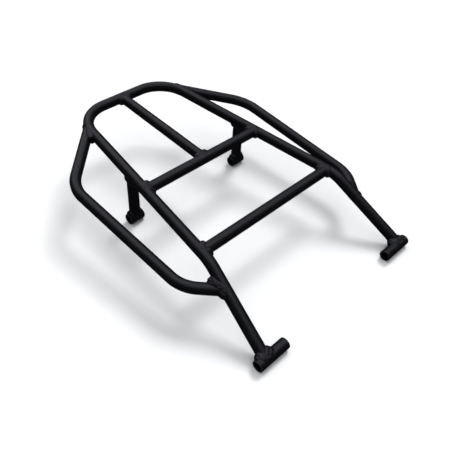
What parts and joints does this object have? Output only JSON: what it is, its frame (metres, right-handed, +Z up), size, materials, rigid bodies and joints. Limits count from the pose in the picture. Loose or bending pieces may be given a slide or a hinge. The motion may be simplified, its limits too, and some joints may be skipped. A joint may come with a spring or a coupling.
{
  "type": "luggage rack",
  "caption": "Welded tubular steel luggage rack with a rounded tail, crossbars, a centre bar, bent side rails and cross-bored mounting sleeves.",
  "frame": {"origin": "middle of the rack's box, on the plane of its four sleeves' lowest lines", "axes": "+Z up when the rack stands on its sleeves, +Y towards the rounded tail, +X across to the right seen looking along +Y"},
  "size_m": [0.4, 0.529, 0.1125],
  "materials": {
    "frame_coat": "satin black powder coat over bent steel tube",
    "sleeve_coat": "satin black powder coat over turned steel sleeve, thin on the rims",
    "weld_coat": "satin black powder coat over rippled weld bead"
  },
  "bodies": {
    "root": {"main_hoop": "frame_coat", "centre_bar": "frame_coat", "rear_crossbar": "frame_coat", "front_crossbar": "frame_coat", "left_side_rail": "frame_coat", "left_rear_leg": "frame_coat", "right_side_rail": "frame_coat", "right_rear_leg": "frame_coat", "left_front_sleeve": "sleeve_coat", "left_rear_sleeve": "sleeve_coat", "right_front_sleeve": "sleeve_coat", "right_rear_sleeve": "sleeve_coat", "centre_bar_tail_weld": "weld_coat", "centre_bar_crossbar_weld": "weld_coat", "left_rear_crossbar_weld": "weld_coat", "left_front_crossbar_weld": "weld_coat", "left_side_rail_tail_weld": "weld_coat", "left_side_rail_leg_weld": "weld_coat", "left_rear_leg_weld": "weld_coat", "left_rear_sleeve_weld": "weld_coat", "left_front_sleeve_weld": "weld_coat", "right_rear_crossbar_weld": "weld_coat", "right_front_crossbar_weld": "weld_coat", "right_side_rail_tail_weld": "weld_coat", "right_side_rail_leg_weld": "weld_coat", "right_rear_leg_weld": "weld_coat", "right_rear_sleeve_weld": "weld_coat", "right_front_sleeve_weld": "weld_coat"}
  },
  "joints": []
}
